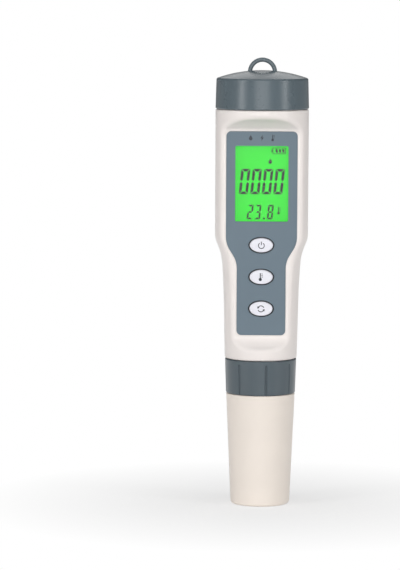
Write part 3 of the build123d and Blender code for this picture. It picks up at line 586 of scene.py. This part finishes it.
mode = bmesh.new()
place = key_space("mode_key")
for start in ARROW_STARTS:
    arc = ring((0, 0), ARROW_RADIUS, ARROW_RADIUS - STROKE, start, ARROW_SWEEP, steps=16)
    prism(mode, arc, place, INK_DEPTH)
    tip = start + ARROW_SWEEP
    centre_radius = ARROW_RADIUS - STROKE / 2
    cx, cz = centre_radius * cos(tip), centre_radius * sin(tip)
    along, across = (-sin(tip), cos(tip)), (cos(tip), sin(tip))
    arrow = [
        (cx + along[0] * ARROW_LENGTH, cz + along[1] * ARROW_LENGTH),
        (cx - across[0] * ARROW_HALF, cz - across[1] * ARROW_HALF),
        (cx + across[0] * ARROW_HALF, cz + across[1] * ARROW_HALF),
    ]
    prism(mode, arrow, place, INK_DEPTH)
finish_piece("mode_key_print", mode, PRINT, "mode_button")


def on_panel(x, z, depth):
    """Millimetres on the panel, from the middle of the display, to a point in the frame."""
    return Vector((x * MM, FRONT_Y - INK_DEPTH + depth, DISPLAY_Z + z * MM))


LABEL_Z = 18.6
LABEL_DROP = ((-4.6, LABEL_Z - 0.25), 0.75)
LABEL_BOLT = [(0.35, 1.3), (-0.75, -0.15), (-0.1, -0.15), (-0.4, -1.3), (0.75, 0.2), (0.1, 0.2)]
LABEL_THERMOMETER = ((4.3, LABEL_Z), 2.6, 0.36)
label = bmesh.new()
prism(label, drop(*LABEL_DROP), on_panel, INK_DEPTH)
prism(label, [(x, z + LABEL_Z) for x, z in LABEL_BOLT], on_panel, INK_DEPTH)
thermometer(label, on_panel, INK_DEPTH, *LABEL_THERMOMETER)
finish_piece("panel_print", label, PRINT, "housing")


# Screw threads on both necks, raised on the plain cylinders of the solids

THREAD_SINK = 0.15 * MM  # how far the ridge reaches into the neck
THREAD_STEPS = 96  # a turn
THREAD_FADE = 0.2  # of a turn, at each end
THREAD_RISE = 0.15 * MM


def thread(name, radius, base, pitch, turns, width):
    """Helical ridge round a neck, its profile a trapezoid that fades in and out at the ends."""
    bm = bmesh.new()
    total = int(turns * THREAD_STEPS)
    foot = radius - THREAD_SINK
    rings = []
    for i in range(total + 1):
        a = tau * i / THREAD_STEPS
        z = base + pitch * i / THREAD_STEPS
        fade = min(1.0, i / (THREAD_STEPS * THREAD_FADE), (total - i) / (THREAD_STEPS * THREAD_FADE))
        crest = foot + (THREAD_RISE + THREAD_SINK) * fade
        profile = [(foot, -width / 2), (crest, -width / 4), (crest, width / 4), (foot, width / 2)]
        rings.append([bm.verts.new((r * cos(a), r * sin(a), z + dz)) for r, dz in profile])
    for a, b in zip(rings, rings[1:]):
        for j in range(len(a)):
            k = (j + 1) % len(a)
            bm.faces.new((a[j], a[k], b[k], b[j]))
    bm.faces.new(rings[0][::-1])
    bm.faces.new(rings[-1])
    finish_piece(name, bm, LOOKS["body_white"], "housing")


# The pitches are those of the record's coupled joints, a turn
UPPER_NECK_RADIUS = 17.0 * MM
UPPER_PITCH = 3.2 * MM
UPPER_TURNS = 2.0
UPPER_WIDTH = 1.5 * MM
UPPER_START = 1.4 * MM
LOWER_NECK_RADIUS = 12.6 * MM
LOWER_PITCH = 2.4 * MM
LOWER_TURNS = 2.8
LOWER_WIDTH = 1.2 * MM
LOWER_START = 1.6 * MM
SHELL_GAP = 0.2 * MM
upper_base = CAP[0].z - SHELL_GAP + UPPER_START
lower_base = HOUSING[0].z + LOWER_START
thread("upper_neck_thread", UPPER_NECK_RADIUS, upper_base, UPPER_PITCH, UPPER_TURNS, UPPER_WIDTH)
thread("lower_neck_thread", LOWER_NECK_RADIUS, lower_base, LOWER_PITCH, LOWER_TURNS, LOWER_WIDTH)


# Floor, light and camera

FLOOR_SIZE = 6.0
FLOOR_NEAR = 0.02  # metres from the pen's axis, where the floor starts to turn plain white
FLOOR_FAR = 0.12
FLOOR_GLOW = 0.62  # share of plain white at the pen
AMBIENT = 0.14
PAPER = [(0.3, (0.9, 0.9, 0.9)), (0.7, (0.92, 0.92, 0.92))]
PLAIN_WHITE = (1, 1, 1, 1)


def floor_paper():
    """Paper that keeps the shadow near the pen and turns plain white further out."""
    paper = Nodes("white_paper_floor")
    fibres = paper.noise(0.02, detail=2.0)
    paper.ramp(fibres, "Fac", PAPER, paper.shader, "Base Color")
    paper.set(Roughness=0.9, Specular_IOR_Level=0.1)
    shine = paper.add("ShaderNodeEmission")
    shine.inputs["Color"].default_value = PLAIN_WHITE
    rays = paper.add("ShaderNodeLightPath")
    seen = paper.add("ShaderNodeMath", operation="MAXIMUM")
    paper.join(rays, "Is Camera Ray", seen, 0)
    paper.join(rays, "Is Glossy Ray", seen, 1)
    seen_all = paper.add("ShaderNodeMath", operation="MAXIMUM")
    paper.join(seen, "Value", seen_all, 0)
    paper.join(rays, "Is Transmission Ray", seen_all, 1)
    distance = paper.add("ShaderNodeVectorMath", operation="LENGTH")
    paper.join(*paper.place, distance, 0)
    fade = paper.add("ShaderNodeMapRange")
    fade.inputs["From Min"].default_value = FLOOR_NEAR
    fade.inputs["From Max"].default_value = FLOOR_FAR
    fade.inputs["To Min"].default_value = FLOOR_GLOW
    fade.inputs["To Max"].default_value = 1.0
    paper.join(distance, "Value", fade, "Value")
    far = paper.add("ShaderNodeMath", operation="MULTIPLY")
    paper.join(fade, "Result", far, 0)
    paper.join(seen_all, "Value", far, 1)
    blend = paper.add("ShaderNodeMixShader")
    paper.join(far, "Value", blend, "Fac")
    paper.join(paper.shader, "BSDF", blend, 1)
    paper.join(shine, "Emission", blend, 2)
    paper.join(blend, "Shader", paper.output, "Surface")
    return paper.material


def white_surroundings():
    """World that is white to the camera and through glass, and dim as a light."""
    world = bpy.data.worlds.new("studio")
    bpy.context.scene.world = world
    world.use_nodes = True
    nodes, links = world.node_tree.nodes, world.node_tree.links
    nodes.clear()
    output = nodes.new("ShaderNodeOutputWorld")
    background = nodes.new("ShaderNodeBackground")
    background.inputs["Color"].default_value = PLAIN_WHITE
    rays = nodes.new("ShaderNodeLightPath")
    seen = nodes.new("ShaderNodeMath")
    seen.operation = "MAXIMUM"
    links.new(rays.outputs["Is Camera Ray"], seen.inputs[0])
    links.new(rays.outputs["Is Transmission Ray"], seen.inputs[1])
    level = nodes.new("ShaderNodeMapRange")
    level.inputs["To Min"].default_value = AMBIENT
    level.inputs["To Max"].default_value = 1.0
    links.new(seen.outputs["Value"], level.inputs["Value"])
    links.new(level.outputs["Result"], background.inputs["Strength"])
    links.new(background.outputs["Background"], output.inputs["Surface"])


half = FLOOR_SIZE / 2
corners = [(-half, -half, 0), (half, -half, 0), (half, half, 0), (-half, half, 0)]
floor_mesh = bpy.data.meshes.new("floor")
floor_mesh.from_pydata(corners, [], [(0, 1, 2, 3)])
floor_mesh.materials.append(floor_paper())
floor = bpy.data.objects.new("floor", floor_mesh)
bpy.context.scene.collection.objects.link(floor)
white_surroundings()


LAMPS_AIM = Vector((0, 0, 0.1))


def lamp(name, place, size, watts):
    """Rectangular soft box that points at the pen."""
    light = bpy.data.lights.new(name, "AREA")
    light.shape = "RECTANGLE"
    light.size, light.size_y = size
    light.energy = watts
    holder = bpy.data.objects.new(name, light)
    bpy.context.scene.collection.objects.link(holder)
    holder.location = place
    holder.rotation_euler = (LAMPS_AIM - Vector(place)).to_track_quat("-Z", "Y").to_euler()


lamp("left_soft_box", (-0.75, -0.6, 0.28), (0.22, 0.9), 3.4)
lamp("right_soft_box", (0.8, -0.5, 0.28), (0.2, 0.9), 2.8)
lamp("top_soft_box", (0.0, -0.2, 1.0), (0.8, 0.6), 1.8)
lamp("back_soft_box", (0.0, 0.8, 0.62), (0.4, 0.45), 0.7)
lamp("front_fill", (0.0, -1.6, 0.4), (1.0, 0.9), 8.4)

camera_data = bpy.data.cameras.new("camera")
camera_data.sensor_fit = "VERTICAL"
camera_data.sensor_height = SENSOR
camera_data.lens = FOCAL_PIXELS * SENSOR / IMAGE_HEIGHT
camera_data.clip_start = 0.01
camera_data.clip_end = 20.0
camera = bpy.data.objects.new("camera", camera_data)
bpy.context.scene.collection.objects.link(camera)
turn = Matrix.Rotation(CAMERA_YAW, 4, "Z") @ Matrix.Rotation(pi / 2 - CAMERA_PITCH, 4, "X")
turn = turn @ Matrix.Rotation(CAMERA_ROLL, 4, "Z")
camera.matrix_world = Matrix.Translation((0, -CAMERA_DISTANCE, CAMERA_HEIGHT)) @ turn
bpy.context.scene.camera = camera
bpy.context.scene.view_settings.view_transform = "Standard"
